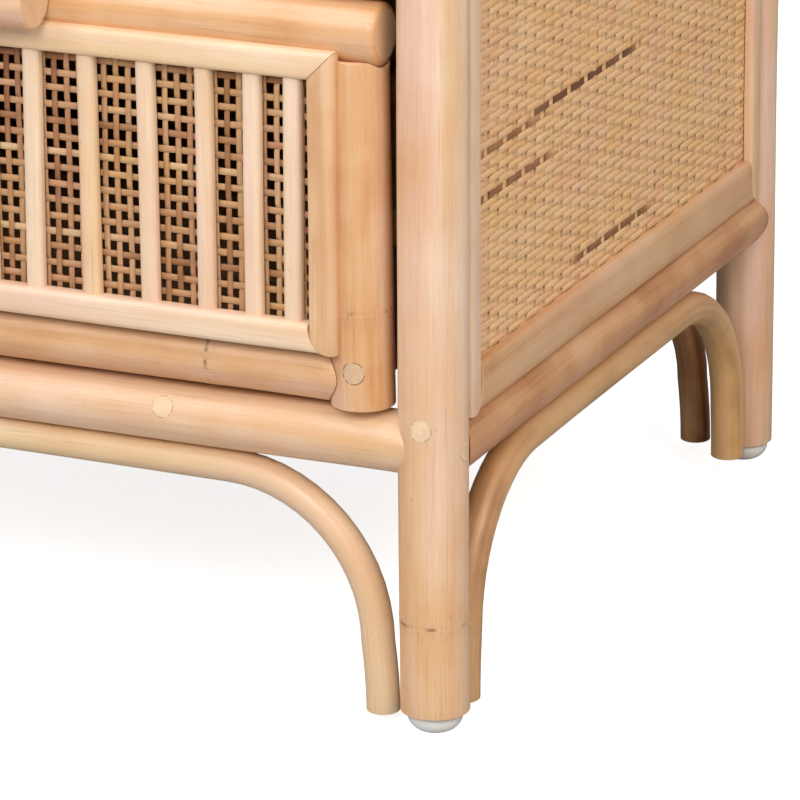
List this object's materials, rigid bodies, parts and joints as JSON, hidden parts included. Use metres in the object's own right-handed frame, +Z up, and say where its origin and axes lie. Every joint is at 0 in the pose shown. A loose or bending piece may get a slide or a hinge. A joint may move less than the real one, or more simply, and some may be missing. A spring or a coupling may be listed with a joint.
{
  "type": "rattan nightstand",
  "caption": "Natural rattan pole bedside table with two slatted cane drawers, woven side panels, short pole pulls and bent arches between the legs.",
  "frame": {"origin": "on the floor, under the middle of the whole piece, pulls included", "axes": "+Z up, -Y towards the drawer fronts and the person using it, +X to that person's right"},
  "size_m": [0.4798, 0.4514, 0.601],
  "materials": {
    "pole": "lacquered natural rattan pole, satin sheen",
    "arch_pole": "lacquered thin bent rattan pole, satin sheen",
    "pale_pole": "split rattan, paler, satin sheen",
    "batten": "split rattan batten, satin sheen",
    "mat": "densely woven rattan peel on thin plywood",
    "cane": "open square-hole cane webbing",
    "board": "plain light plywood and solid wood, matt",
    "white_plastic": "white nylon"
  },
  "bodies": {
    "frame": {"arch_back": "arch_pole", "arch_front": "arch_pole", "arch_left": "arch_pole", "arch_right": "arch_pole", "battens_back": "batten", "battens_left": "batten", "battens_right": "batten", "battens_top": "batten", "glide_back_left": "white_plastic", "glide_back_right": "white_plastic", "glide_front_left": "white_plastic", "glide_front_right": "white_plastic", "leg_back_left": "pole", "leg_back_right": "pole", "leg_front_left": "pole", "leg_front_right": "pole", "mat_back": "mat", "mat_left": "mat", "mat_right": "mat", "mat_top": "mat", "rail_lower_back": "pole", "rail_lower_front": "pole", "rail_lower_left": "pole", "rail_lower_right": "pole", "rail_middle_front": "pole", "rail_top_back": "pole", "rail_top_front": "pole", "rail_top_left": "pole", "rail_top_right": "pole", "runner_lower_left": "board", "runner_lower_right": "board", "runner_upper_left": "board", "runner_upper_right": "board", "top_board": "board", "top_border_back": "pole", "top_border_front": "pole", "top_border_left": "pole", "top_border_right": "pole"},
    "lower_drawer": {"lower_drawer_back": "board", "lower_drawer_bottom_pole": "pole", "lower_drawer_cane": "cane", "lower_drawer_floor": "board", "lower_drawer_grille": "pale_pole", "lower_drawer_pull": "pole", "lower_drawer_side_left": "board", "lower_drawer_side_right": "board", "lower_drawer_stile_left": "pole", "lower_drawer_stile_right": "pole", "lower_drawer_top_pole": "pole"},
    "upper_drawer": {"upper_drawer_back": "board", "upper_drawer_bottom_pole": "pole", "upper_drawer_cane": "cane", "upper_drawer_floor": "board", "upper_drawer_grille": "pale_pole", "upper_drawer_pull": "pole", "upper_drawer_side_left": "board", "upper_drawer_side_right": "board", "upper_drawer_stile_left": "pole", "upper_drawer_stile_right": "pole", "upper_drawer_top_pole": "pole"}
  },
  "joints": [
    {"name": "lower_drawer_slide", "type": "slide", "parent": "frame", "child": "lower_drawer", "axis": [0, -1, 0], "range_m": [0, 0.26]},
    {"name": "upper_drawer_slide", "type": "slide", "parent": "frame", "child": "upper_drawer", "axis": [0, -1, 0], "range_m": [0, 0.26]}
  ]
}
